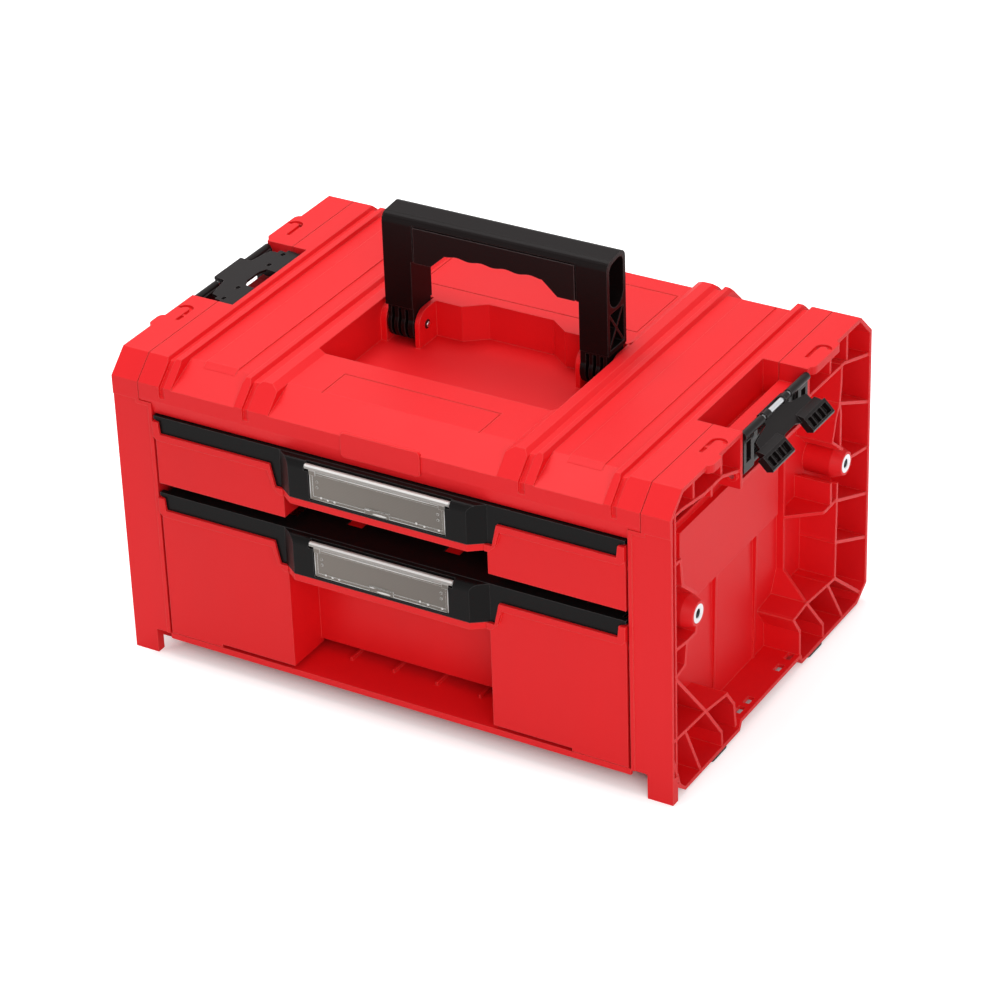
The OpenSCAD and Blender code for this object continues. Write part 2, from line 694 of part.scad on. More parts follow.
// Lower edge of the grip: a straight ledge, a 45 degree corner, then shallow finger waves
function grip_under() = [for (i = [0 : 32]) let (x = arch_half - 2 * arch_half * i / 32)
    [x, arch_top - wave_h * cos(360 * waves * (i / 32))]];
function grip_outline(d) = concat([[-grip_half - d, grip_z1 + d], [-grip_half - d, grip_z0 - d],
    [-arch_half - 12, grip_z0 - d]], [for (i = [32 : -1 : 0]) grip_under()[i]],
    [[arch_half + 12, grip_z0 - d], [grip_half + d, grip_z0 - d], [grip_half + d, grip_z1 + d]]);

// Section of the bar with rounded top corners
function bar_section(d) = let (r = 6.5, lean = 1.2) concat(
    [[bar_y0 + d, pivot_z - 30]], arc([bar_y0 + r + d, bar_top - r - d - lean], r, 180, 96),
    arc([bar_y1 - r - d, bar_top - r - d], r, 90, 0), [[bar_y1 - d, pivot_z - 30]]);

module handle_shell() {
    leg_z = pivot_z + 16;
    end_wall = 3.2;
    hole_r = (bar_d - 2 * end_wall) / 2;
    hole_y = bar_y0 + end_wall + hole_r;
    color(black) difference() {
        union() {
            intersection() {
                union() {
                    both_sides() block([leg_in, bar_y0, leg_z], [leg_out, bar_y1, bar_top + 1]);
                    difference() {
                        block([-leg_in - 1, bar_y0, grip_z0], [leg_in + 1, bar_y1, bar_top + 1]);
                        prism_y(bar_y0 - 1, bar_y1 + 1, grip_outline(0.3));
                        block([-arch_half - 12, bar_y0 - 1, grip_z0 - 1],
                            [arch_half + 12, bar_y1 + 1, arch_top + 2]);
                    }
                    // core of the bar, which the grip wraps from below
                    block([-grip_half - 1, bar_y0 + core_in, arch_top + core_in],
                        [grip_half + 1, bar_y1 - core_in, grip_z1 + 1]);
                }
                prism_x(-leg_out, leg_out, bar_section(0));
            }
            // pivot block under each leg, with three upright grooves in front
            both_sides() difference() {
                union() {
                    rod_x(leg_in, leg_out, pivot_y, pivot_z, 13);
                    block([leg_in, pivot_y - 13 + 1.6, pivot_z], [leg_out, pivot_y + 13, leg_z + eps]);
                }
                for (x = [leg_in + 4.5, leg_in + 10.2, leg_in + 15.9])
                    block([x, pivot_y - 14, pivot_z - 14], [x + 2.6, pivot_y - 6.5, leg_z - 1.5]);
                block([leg_out - 1.6, pivot_y - 14, pivot_z - 14], [leg_out + 1, pivot_y + 14, leg_z - 0.6]);
            }
        }
        // groove round the grip, front and back
        for (y = [bar_y0 - 1, bar_y1 - 0.9]) prism_y(y, y + 1.9, grip_outline(1.1));
        // open ends of the hollow bar and the cross-ribbed pockets in the legs
        both_sides() {
            block([24, bar_y0 + end_wall + 3, arch_top + core_in + 2.5],
                [grip_half, bar_y1 - end_wall - 3, bar_top - 3.6]);
            rod_x(grip_half - eps, leg_out + 1, hole_y, grip_z0 + 6, hole_r);
            intersection() {
                prism_x(grip_half - eps, leg_out + 1, bar_section(end_wall));
                block([grip_half - 1, bar_y0, grip_z0 + 6], [leg_out + 2, bar_y1, bar_top]);
            }
            leg_pocket(end_wall);
        }
        rod_x(-leg_out - 1, leg_out + 1, pivot_y, pivot_z, handle_pin_r + 0.06);
    }
}

// Recess in the outer face of a leg, crossed by two thin ribs
module leg_pocket(end_wall) {
    y0 = bar_y0 + end_wall;
    y1 = bar_y1 - end_wall;
    z0 = pivot_z + 19;
    z1 = grip_z0 - 7;
    difference() {
        block([leg_in + 3, y0, z0], [leg_out + 1, y1, z1]);
        ribs(leg_in + 2, leg_out - 0.4) {
            strip([y0, z0], [y1, z1], 1.8);
            strip([y0, z1], [y1, z0], 1.8);
        }
    }
}

module handle_grip() {
    color(rubber) difference() {
        prism_y(bar_y0 - 0.4, bar_y1 + 0.4, grip_outline(0));
        block([-grip_half - 1, bar_y0 + core_in - play / 2, arch_top + core_in - play / 2],
            [grip_half + 1, bar_y1 - core_in + play / 2, grip_z1 + 1]);
    }
}

module handle_pin(side) {
    color(steel) flip(side) rod_x(ear_in0 - 0.8, tray_half + 0.8, pivot_y, pivot_z, handle_pin_r);
}

// ---- side latches ----

knuckle = [10.5, 17.5];
link_half = pocket_half - 1;
arm_in = link_half - 15;
rod_half = arm_in - 2;
claw_y = [14.5, pocket_half - 2.5];
claw_r0 = 15.5;
teeth = 3;

module latch_link() {
    color(black) difference() {
        union() {
            for (s = [0, 1]) mirror([0, s, 0]) {
                rod_y(20.5, link_half, latch_x, latch_z, shoulder_r);
                block([latch_x - 4, arm_in, link_z], [latch_x + 1, link_half, latch_z]);
                rod_y(arm_in, link_half, link_x, link_z, 4.6);
                block([latch_x - 4, 24, latch_z - 12], [latch_x - 1.5, arm_in + eps, latch_z]);
            }
            rod_y(-link_half, link_half, link_x, link_z, 3.8);
            block([link_x - 3.4, -link_half, link_z], [link_x - 0.4, link_half, link_z + 12]);
        }
        rod_y(-rod_half, rod_half, latch_x, latch_z, rod_r + 0.02);
        rod_y(-link_half - 1, link_half + 1, link_x, link_z, link_pin_r + rod_fit);
        // windows in the arms
        for (s = [0, 1]) mirror([0, s, 0])
            block([latch_x - 6, arm_in + 4.5, link_z + 7], [latch_x + 3, link_half - 3.5, latch_z - 6]);
    }
}

module latch_rod() color(steel) rod_y(-rod_half, rod_half, latch_x, latch_z, rod_r);

module link_pins() {
    color(steel) for (s = [0, 1]) mirror([0, s, 0])
        rod_y(link_half - 12, pocket_half + wall + 2, link_x, link_z, link_pin_r);
}

// Flip plate, drawn lying outwards from its rod and turned by the angle below the horizontal.
// Its web passes behind the rod, so the rod shows while the plate hangs open and is covered once it is folded.
web_lo = -4.4;
web_hi = -2.2;
plate_back = -3.6;
module latch_plate(angle) {
    web_r = claw_r0 + 6;
    color(black) translate([latch_x, 0, latch_z]) rotate([0, angle, 0]) difference() {
        union() {
            for (s = [0, 1]) mirror([0, s, 0]) {
                rod_y(knuckle[0], knuckle[1], 0, 0, shoulder_r);
                block([-shoulder_r, knuckle[0], web_lo + 1], [shoulder_r, knuckle[1], 0]);
                // claw: a deep hooked end with a toothed mouth along its tip
                prism_y(claw_y[0], claw_y[1], [[claw_r0 - 1, web_lo], [claw_r0 - 1, web_hi], [claw_r0 + 4, claw_hi],
                    [plate_reach - 1, claw_hi], [plate_reach, claw_hi - 1.5], [plate_reach - 2.5, web_lo]]);
            }
            prism_z(web_lo, web_hi, mirrored_y([[plate_back, knuckle[1]], [4.6, knuckle[1]], [5.5, knuckle[1] + 1.5],
                [9, claw_y[1] - 8.5], [claw_r0, claw_y[1] - 7.5], [claw_r0 + 1, claw_y[0] + 8], [web_r, claw_y[0]], [web_r - 2.5, 8]]));
        }
        rod_y(-30, 30, 0, 0, rod_r + rod_fit);
        for (s = [0, 1]) mirror([0, s, 0]) {
            difference() {
                block([claw_r0 + 6.5, claw_y[0] + 2.4, web_lo + 1.4], [plate_reach - 2.4, claw_y[1] - 2.4, claw_hi + 1]);
                for (i = [1 : teeth]) let (y = claw_y[0] + 2.4 + (claw_y[1] - claw_y[0] - 4.8) * i / (teeth + 1))
                    block([claw_r0 + 6, y - 0.7, web_lo], [plate_reach - 2, y + 0.7, claw_hi - 0.8]);
            }
            // shallow pockets that show on top of the folded plate, and the cut-out behind each claw
            for (y = [claw_y[0] + 4, claw_y[1] - 10])
                block([claw_r0 + 2.6, y, web_lo - 1], [claw_r0 + 5.4, y + 4.5, web_lo + 1.6]);
            block([claw_r0 - 2, claw_y[1] - 3.5, web_lo - 1], [claw_r0 + 4, claw_y[1] + 1, claw_hi + 1]);
        }
    }
}
function mirrored_y(half) = concat(half, [for (i = [len(half) - 1 : -1 : 0]) [half[i][0], -half[i][1]]]);

// ---- drawers ----

// Front lip in X and Z: raised ends, outer runs, steps down to the middle
function lip_outline(top) = let (s = top - strip_h, m = top - pull_h) [
    [front_half + 0.5, top - 4], [front_half + 0.5, s - lip_h + 3], [front_half - 2.5, s - lip_h],
    [step_out + 2, s - lip_h], [step_in + 2.4, m], [step_in - 2, m - lip_h + 0.6],
    [recess_half - 2, m - lip_h], [recess_half - 4, m - lip_h], [recess_half - 4, m],
    [step_in, m], [step_out, s], [front_half - 5.5, s], [front_half - 4.5, top - 4]];

// Middle run of the lip, in plan, follows the nose of the pull
function nose_plan(d) = mirrored([[pull_wide + d * 0.4, -hd + wall], [pull_wide + d * 0.4, -hd - d],
    [pull_half + d * 0.4, -hd - pull_out - d]]);

snap_x = 40;
snap_y = -hd + 27;
module drawer_tray(top, z0, step) {
    m = top - pull_h;
    run_z = runner_z(top);
    inner = box_half - tray_wall;
    recess_y = -hd + recess_d;
    bottom = z0 + belly;
    color(red) difference() {
        union() {
            // front panels on both sides of the recess, a little shorter towards the middle
            both_sides() {
                block([recess_half, -hd, z0 + step], [front_half, -hd + wall, top - strip_h]);
                if (step > 0) block([recess_half + 60, -hd, z0], [front_half, -hd + wall, z0 + 3]);
                block([recess_half - wall, -hd, z0 + step], [recess_half, recess_y + wall, m]);
                block([inner, -hd + wall - eps, bottom], [box_half, box_back, run_z]);
                block([inner, -hd + wall, run_z - 6], [open_half - runner_in - 0.6, box_back, run_z + play]);
                block([inner, -hd + wall, run_z + play], [open_half - 0.8, box_back, run_z + flange_h]);
                block([snap_x - 6, snap_y - 4, m - eps], [snap_x + 6, snap_y + 4, top - 0.5]);
            }
            // wall and ceiling of the finger recess
            block([-recess_half, recess_y, bottom], [recess_half, recess_y + wall, m + eps]);
            block([-recess_half, -hd + 0.5, m - wall], [recess_half, recess_y + wall, m]);
            both_sides() prism_y(-hd - lip_out, -hd + wall - 0.5, lip_outline(top));
            prism_z(m - lip_h, m, nose_plan(0));
            // floor, back wall and side stiffeners
            difference() {
                block([-box_half, -hd + eps, bottom], [box_half, box_back, bottom + tray_wall]);
                block([-recess_half + wall, -hd - 1, bottom - 1],
                    [recess_half - wall, recess_y, bottom + tray_wall + 1]);
            }
            block([-box_half, box_back - tray_wall, bottom], [box_half, box_back, run_z]);
            both_sides() for (y = [-40, 50])
                block([inner - 1.6, y - 1, bottom], [inner + eps, y + 1, run_z - 2]);
        }
        // seat of the pull
        pull_body(top, play / 2);
    }
}

// Solid of the pull: strip over the full width, deep middle part and its nose
ledge_t = 2.4;
module pull_body(top, d) {
    s = top - strip_h;
    m = top - pull_h;
    y1 = -hd + wall + 1;
    prism_y(-hd - 0.4 - d, y1, mirrored([[front_half + d, top + d], [front_half + d, top - 2.4],
        [front_half - 4.2, top - 4 + d], [front_half - 5.2 + d, s - d + 0.3], [step_out + 0.2 + d, s - d + 0.3],
        [step_in + 0.2 + d, m - d + 0.3]]));
    intersection() {
        prism_z(m - d + 0.3, top + d, mirrored([[pull_wide + d, y1], [pull_wide + d, -hd - 0.4 - d],
            [pull_half + d * 0.6, -hd - pull_out - d]]));
        prism_x(-pull_wide - 1, pull_wide + 1, concat([[y1, m - d + 0.3], [-hd - pull_out - d, m - d + 0.3]],
            arc([-hd - pull_out + 6 - d, top - 6 + d], 6, 180, 110), [[y1, top + d]]));
    }
}

window_h = 25;
window_t = 1.6;
roll_r = 2.1;
function window_axis_z(top) = top - 3.6;
window_y = -hd - pull_out + 2.1;

module drawer_pull(top) {
    axis_z = window_axis_z(top);
    m = top - pull_h;
    color(black) difference() {
        union() {
            pull_body(top, 0);
            // top ledge that closes the space behind the nose
            difference() {
                block([-pull_wide, -hd + wall, top - ledge_t], [pull_wide, -hd + recess_d + wall, top]);
                both_sides() block([snap_x - 6 - play, snap_y - 4 - play, top - ledge_t - 1],
                    [snap_x + 6 + play, snap_y + 4 + play, top + 1]);
            }
            both_sides() block([pull_wide - eps, -hd + wall, top - ledge_t], [front_half - 4.5, -hd + 16, top]);
            // clips behind the front that hold the pull
            both_sides() for (x = [28, 68]) block([x - 5, -hd + wall, m + 3], [x + 5, -hd + wall + 4.5, top - 6]);
            both_sides() block([110, -hd + wall, top - strip_h + 3], [122, -hd + wall + 4, top - 4]);
        }
        // hollow of the nose from behind, and the label pocket in front
        prism_z(m + 3, top - 7.5, mirrored([[pull_half - 8, -hd + wall + 6], [pull_half - 8, -hd - pull_out + 7.5]]));
        block([-window_w / 2 + 1.5, -hd - pull_out - 1, axis_z - window_h + 1.5],
            [window_w / 2 - 1.5, -hd - pull_out + 4.2, axis_z - roll_r]);
        block([-window_w / 2 - play, -hd - pull_out - 1, axis_z - window_h - play],
            [window_w / 2 + play, window_y + window_t / 2 + play, axis_z + 0.5]);
        block([-window_w / 2 - 4, -hd - pull_out - 1, axis_z - roll_r - 0.8],
            [window_w / 2 + 4, window_y + roll_r + play, top + 1]);
        rod_x(-window_w / 2 - 6, window_w / 2 + 6, window_y, axis_z, 0.9 + 0.06);
    }
}

// Clear flap over the label pocket: hinge roll on top, snap tab below
module label_window(top) {
    z = window_axis_z(top);
    half = window_w / 2;
    y0 = window_y - window_t / 2 - 0.4;
    color(clear) {
        rod_x(-half - 3.4, half + 3.4, window_y, z, roll_r);
        rod_x(-half - 5.6, half + 5.6, window_y, z, 0.9);
        difference() {
            block([-half, y0, z - window_h], [half, y0 + window_t, z]);
            block([-half + 3, y0 + window_t - 0.5, z - window_h + 5], [half - 3, y0 + window_t + 1, z - 4]);
            // sunken field in a frame
            block([-half + 2.5, y0 - 1, z - window_h + 2.8], [half - 2.5, y0 + 0.25, z - 4.5]);
        }
        // clasp below, stop blocks beside the roll and a pair of studs near each end
        block([-10, y0 - 0.6, z - window_h + 0.3], [10, y0 + 0.5, z - window_h + 4.4]);
        both_sides() {
            block([half - 5, y0 - 0.4, z - 5.5], [half, y0 + 0.5, z]);
            for (dz = [10, 14.5]) rod_y(y0 - 0.3, y0 + 0.5, half - 6, z - dz, 1);
        }
    }
}

// ---- assembly ----

module left_part() mirror([1, 0, 0]) children();

on_origin() left_part() { side_frame(); color(red) pad_seats(); }  // left_side_frame
on_origin() { side_frame(); color(red) pad_seats(); }  // right_side_frame
on_origin() top_cover();
on_origin() badge_plate();
on_origin() base_floor();
on_origin() back_panel();
on_origin() left_part() sleeves();  // left_sleeves
on_origin() sleeves();  // right_sleeves
on_origin() rubber_feet();
on_origin() base_screws();
on_origin() cover_screws();
on_origin() handle_pin(-1);  // left_handle_pin
on_origin() handle_pin(1);  // right_handle_pin
on_origin() handle_shell();
on_origin() handle_grip();
on_origin() left_part() latch_link();  // left_latch_link
on_origin() latch_link();  // right_latch_link
on_origin() left_part() latch_rod();  // left_latch_rod
on_origin() latch_rod();  // right_latch_rod
on_origin() left_part() latch_plate(-180 - folded_angle);  // left_latch_plate
on_origin() latch_plate(open_angle);  // right_latch_plate
on_origin() left_part() link_pins();  // left_link_pins
on_origin() link_pins();  // right_link_pins
on_origin() drawer_tray(pull_top, upper_z, 0);  // upper_drawer_tray
on_origin() drawer_tray(pull_top - drawer_pitch, lower_z, 2.5);  // lower_drawer_tray
on_origin() drawer_pull(pull_top);  // upper_drawer_pull
on_origin() drawer_pull(pull_top - drawer_pitch);  // lower_drawer_pull
on_origin() label_window(pull_top);  // upper_label_window
on_origin() label_window(pull_top - drawer_pitch);  // lower_label_window
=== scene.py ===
# %% [markdown]
# # A portable tool box with two drawers
# The box arrives as a finished mechanical model: every moulding, pin and screw is already a solid in its
# right place, and every moving piece hangs on a named body. Blender's job here is the look: the satin of
# moulded plastic, the soft edges that every mould leaves, clear windows, steel, and a quiet studio.
#
# All lengths are metres. +X runs to the right along the drawer fronts, -Y points at the viewer's side
# with the drawers, +Z is up, and the box stands on Z = 0.

# %% Load the frame
import bpy
import numpy as np
from mathutils import Matrix, Vector


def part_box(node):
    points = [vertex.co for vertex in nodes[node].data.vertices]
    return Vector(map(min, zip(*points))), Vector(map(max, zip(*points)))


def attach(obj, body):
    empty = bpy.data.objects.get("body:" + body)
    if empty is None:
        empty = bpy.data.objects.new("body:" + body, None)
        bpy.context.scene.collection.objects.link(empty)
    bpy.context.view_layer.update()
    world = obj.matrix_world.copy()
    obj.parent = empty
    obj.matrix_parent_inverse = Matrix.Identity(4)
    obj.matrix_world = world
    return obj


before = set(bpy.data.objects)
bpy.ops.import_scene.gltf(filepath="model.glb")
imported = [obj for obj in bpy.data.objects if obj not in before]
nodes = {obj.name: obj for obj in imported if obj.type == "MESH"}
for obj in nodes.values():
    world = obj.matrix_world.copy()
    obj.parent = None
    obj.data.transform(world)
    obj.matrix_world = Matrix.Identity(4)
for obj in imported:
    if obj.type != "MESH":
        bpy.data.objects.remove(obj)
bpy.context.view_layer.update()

# %% [markdown]
# ## Where the measurements come from
# Every piece that is added here sits on a node of the frame, so its place is read from that node's box and
# never typed. The open latch on the right makes the whole thing wider on that side, and the frame's origin
# is the middle of the total. The box's own middle plane therefore lies a little to the left of X = 0, and
# the floor, which is symmetric, tells where.

# %% Middle plane and label windows
MID_X = 0.5 * (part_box("base_floor")[0][0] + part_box("base_floor")[1][0])
WINDOW_HALF = 0.055
ROLL_HEIGHT = 0.0044
print("middle plane at x = %.4f, windows %.3f wide" % (MID_X, 2 * WINDOW_HALF))

# %% [markdown]
# ## Node groups that several finishes share
# Moulded plastic is never quite even. Two effects make it read as plastic and not as paint: the fine
# spark-eroded grain that the mould leaves, and edges that are never sharp. Each effect is built once
# as a node group with named sockets, and every finish sets its own strength.

# %% A small helper for node graphs
def node(tree, kind, place=(0, 0), **values):
    """Adds a node of the given kind and sets its properties, or its input sockets when the name is one."""
    made = tree.nodes.new(kind)
    made.location = place
    for name, value in values.items():
        key = name.replace("_", " ")
        if key in made.inputs:
            made.inputs[key].default_value = value
        else:
            setattr(made, name, value)
    return made


def new_group(name, inputs, outputs):
    """A shader node group with float, vector or colour sockets, plus its input and output nodes."""
    group = bpy.data.node_groups.new(name, "ShaderNodeTree")
    for label, kind, value in inputs:
        socket = group.interface.new_socket(name=label, in_out="INPUT", socket_type=kind)
        if value is not None:
            socket.default_value = value
    for label, kind in outputs:
        group.interface.new_socket(name=label, in_out="OUTPUT", socket_type=kind)
    return group, node(group, "NodeGroupInput", (-900, 0)), node(group, "NodeGroupOutput", (900, 0))


# %% [markdown]
# ** Grain.** A mould for a tool box is etched with a fine leather-like grain, and the wall behind it
# sinks a little over ribs. Noise at two scales gives both: the small one becomes bump, the large one a
# slow drift in gloss and tone. The large one is drawn out downwards, as the
# melt ran down the walls of the mould.

# %% Grain group
def build_grain():
    """Height = fine noise * Amount; Tone and Gloss = slow noise, centred on 1 and 0."""
    group, source, sink = new_group(
        "moulded_grain",
        [("Fine Scale", "NodeSocketFloat", 900.0), ("Amount", "NodeSocketFloat", 1.0),
         ("Drift", "NodeSocketFloat", 0.04)],
        [("Height", "NodeSocketFloat"), ("Tone", "NodeSocketFloat"), ("Gloss", "NodeSocketFloat")])
    place = node(group, "ShaderNodeTexCoord", (-900, -250))
    fine = node(group, "ShaderNodeTexNoise", (-600, 150), Detail=2.0, Roughness=0.6)
    drawn = node(group, "ShaderNodeMapping", (-750, -250), Scale=(1.8, 1.0, 0.35))
    slow = node(group, "ShaderNodeTexNoise", (-600, -250), Scale=9.0, Detail=3.0, Roughness=0.55)
    link = group.links.new
    link(place.outputs["Object"], fine.inputs["Vector"])
    link(place.outputs["Object"], drawn.inputs["Vector"])
    link(drawn.outputs["Vector"], slow.inputs["Vector"])
    link(source.outputs["Fine Scale"], fine.inputs["Scale"])
    height = node(group, "ShaderNodeMath", (-200, 150), operation="MULTIPLY")
    link(fine.outputs["Fac"], height.inputs[0])
    link(source.outputs["Amount"], height.inputs[1])
    centred = node(group, "ShaderNodeMath", (-350, -250), operation="SUBTRACT")
    centred.inputs[1].default_value = 0.5
    link(slow.outputs["Fac"], centred.inputs[0])
    gloss = node(group, "ShaderNodeMath", (-100, -250), operation="MULTIPLY")
    link(centred.outputs[0], gloss.inputs[0])
    link(source.outputs["Drift"], gloss.inputs[1])
    tone = node(group, "ShaderNodeMath", (150, -150), operation="ADD")
    tone.inputs[1].default_value = 1.0
    link(gloss.outputs[0], tone.inputs[0])
    link(height.outputs[0], sink.inputs["Height"])
    link(tone.outputs[0], sink.inputs["Tone"])
    link(gloss.outputs[0], sink.inputs["Gloss"])
    return group


GRAIN = build_grain()
print("group:", GRAIN.name)

# %% [markdown]
# ** Soft edges.** The Bevel node bends the normal near an edge as a small radius would. Its difference
# from the true normal is also a mask of the edges, where each finish mixes in a lighter colour: a painted
# highlight along the edges.

# %% Soft edge group
def build_soft_edge():
    """Normal = normal rounded over Radius; Edge = 1 - (rounded normal . flat normal), sharpened."""
    group, source, sink = new_group(
        "soft_edge", [("Radius", "NodeSocketFloat", 0.0008), ("Gain", "NodeSocketFloat", 2.0)],
        [("Normal", "NodeSocketVector"), ("Edge", "NodeSocketFloat")])
    rounded = node(group, "ShaderNodeBevel", (-600, 100), samples=4)
    flat = node(group, "ShaderNodeNewGeometry", (-600, -200))
    dot = node(group, "ShaderNodeVectorMath", (-300, 0), operation="DOT_PRODUCT")
    away = node(group, "ShaderNodeMath", (-50, 0), operation="SUBTRACT")
    away.inputs[0].default_value = 1.0
    edge = node(group, "ShaderNodeMath", (200, 0), operation="MULTIPLY", use_clamp=True)
    link = group.links.new
    link(source.outputs["Radius"], rounded.inputs["Radius"])
    link(rounded.outputs["Normal"], dot.inputs[0])
    link(flat.outputs["Normal"], dot.inputs[1])
    link(dot.outputs["Value"], away.inputs[1])
    link(away.outputs[0], edge.inputs[0])
    link(source.outputs["Gain"], edge.inputs[1])
    link(rounded.outputs["Normal"], sink.inputs["Normal"])
    link(edge.outputs[0], sink.inputs["Edge"])
    return group


SOFT_EDGE = build_soft_edge()
print("group:", SOFT_EDGE.name)

# %% [markdown]
# ## The plastic finishes
# One recipe makes every plastic on the box. What changes is colour, gloss, grain and how strongly
# edges catch the light.

# %% Plastic recipe
def plastic(name, colour, highlight_colour, roughness, fine=900.0, bump=0.00002, radius=0.0008, drift=0.05,
            shine=0.5, gain=2.0):
    """Principled plastic: colour * tone, mixed to highlight_colour by the edge mask; bump from the grain."""
    made = bpy.data.materials.new(name)
    made.use_nodes = True
    tree = made.node_tree
    link = tree.links.new
    shader = tree.nodes["Principled BSDF"]
    shader.inputs["IOR"].default_value = 1.49
    shader.inputs["Specular IOR Level"].default_value = shine
    grain = node(tree, "ShaderNodeGroup", (-900, -100), node_tree=GRAIN)
    grain.inputs["Fine Scale"].default_value = fine
    grain.inputs["Drift"].default_value = drift
    edge = node(tree, "ShaderNodeGroup", (-900, 200), node_tree=SOFT_EDGE)
    edge.inputs["Radius"].default_value = radius
    edge.inputs["Gain"].default_value = gain
    toned = node(tree, "ShaderNodeMix", (-600, 100), data_type="RGBA", blend_type="MULTIPLY")
    toned.inputs["Factor"].default_value = 1.0
    toned.inputs["A"].default_value = (*colour, 1.0)
    link(grain.outputs["Tone"], toned.inputs["B"])
    # The edge mask mixes in a lighter colour, a painted highlight along every edge.
    lit_edge_mix = node(tree, "ShaderNodeMix", (-350, 150), data_type="RGBA")
    lit_edge_mix.inputs["B"].default_value = (*highlight_colour, 1.0)
    link(edge.outputs["Edge"], lit_edge_mix.inputs["Factor"])
    link(toned.outputs["Result"], lit_edge_mix.inputs["A"])
    link(lit_edge_mix.outputs["Result"], shader.inputs["Base Color"])
    rough = node(tree, "ShaderNodeMath", (-350, -150), operation="ADD")
    rough.inputs[1].default_value = roughness
    link(grain.outputs["Gloss"], rough.inputs[0])
    link(rough.outputs[0], shader.inputs["Roughness"])
    relief = node(tree, "ShaderNodeBump", (-350, -350), Strength=1.0, Distance=bump)
    link(grain.outputs["Height"], relief.inputs["Height"])
    link(edge.outputs["Normal"], relief.inputs["Normal"])
    link(relief.outputs["Normal"], shader.inputs["Normal"])
    return made


# %% [markdown]
# **Colours.** The shell is a bright traffic red with a satin face. The pulls, latches and handle shell
# are carbon-filled black, a touch warmer and glossier, and the grip is a soft dark overmould.

# %% Plastic colours
RED = (0.80, 0.009, 0.013)
BLACK = (0.006, 0.0035, 0.0035)

# The second colour of each finish is its painted edge highlight.
shell_red = plastic("shell red", RED, (0.95, 0.11, 0.095), 0.52, drift=0.09, shine=0.27, gain=2.6)
drawer_red = plastic("drawer red", (0.78, 0.010, 0.013), (0.95, 0.10, 0.09), 0.40, drift=0.10, shine=0.20,
                     gain=2.6)
handle_black = plastic("handle black", BLACK, (0.10, 0.09, 0.09), 0.36, radius=0.0009, shine=0.09)
pull_black = plastic("pull black", (0.006, 0.0055, 0.0055), (0.12, 0.115, 0.115), 0.30, radius=0.0007,
                     shine=0.08, gain=3.0)
latch_black = plastic("latch black", (0.010, 0.007, 0.007), (0.16, 0.14, 0.14), 0.30, radius=0.0005,
                      shine=0.14, gain=3.0)
grip_black = plastic("soft grip", (0.010, 0.005, 0.005), (0.13, 0.10, 0.10), 0.50, fine=1400.0,
                     bump=0.00004, radius=0.0010, shine=0.09, gain=5.0)
foot_rubber = plastic("foot rubber", (0.022, 0.021, 0.020), (0.05, 0.05, 0.05), 0.75)

# %% [markdown]
# ## Steel and clear plastic
# The sleeves, pins and rods are drawn steel: fine streaks along their length, so the roughness follows
# a noise that is stretched along the axis.

# %% Steel
def drawn_steel(name, stretch):
    """Metal whose roughness follows a noise stretched along one axis by the Mapping scale."""
    made = bpy.data.materials.new(name)
    made.use_nodes = True
    tree = made.node_tree
    link = tree.links.new
    shader = tree.nodes["Principled BSDF"]
    shader.inputs["Base Color"].default_value = (0.62, 0.63, 0.65, 1.0)
    shader.inputs["Metallic"].default_value = 1.0
    place = node(tree, "ShaderNodeTexCoord", (-1000, 0))
    along = node(tree, "ShaderNodeMapping", (-800, 0), Scale=stretch)
    streak = node(tree, "ShaderNodeTexNoise", (-600, 0), Scale=2500.0, Detail=3.0)
    spread = node(tree, "ShaderNodeMapRange", (-350, 0), To_Min=0.18, To_Max=0.42)
    relief = node(tree, "ShaderNodeBump", (-350, -300), Strength=0.6, Distance=0.00002)
    link(place.outputs["Object"], along.inputs["Vector"])
    link(along.outputs["Vector"], streak.inputs["Vector"])
    link(streak.outputs["Fac"], spread.inputs["Value"])
    link(spread.outputs["Result"], shader.inputs["Roughness"])
    link(streak.outputs["Fac"], relief.inputs["Height"])
    link(relief.outputs["Normal"], shader.inputs["Normal"])
    return made


steel_x = drawn_steel("steel drawn along x", (0.05, 1.0, 1.0))
steel_y = drawn_steel("steel drawn along y", (1.0, 0.05, 1.0))
steel_z = drawn_steel("steel turned about z", (1.0, 1.0, 0.05))
print("steel finishes:", steel_x.name, steel_y.name, steel_z.name)

# %% [markdown]
# ** Label windows.** A window is smoky polycarbonate in front of a ruled paper strip, hinged on a round roll
# that is thick enough to look nearly white. Real refraction would need many more rays for the same
# picture, so the sheet is a glossy skin with a little transparency. Its tone carries painted shading,
# lighter at the left end and darker at the right one, and the faint ruling. A mask in Z brightens the roll
# and paints a highlight line along it, and the edge mask paints highlights on the edges.

# %% Clear plastic
SMOKE = (0.20, 0.175, 0.150, 1.0)
BRIGHT = (0.85, 0.84, 0.82, 1.0)


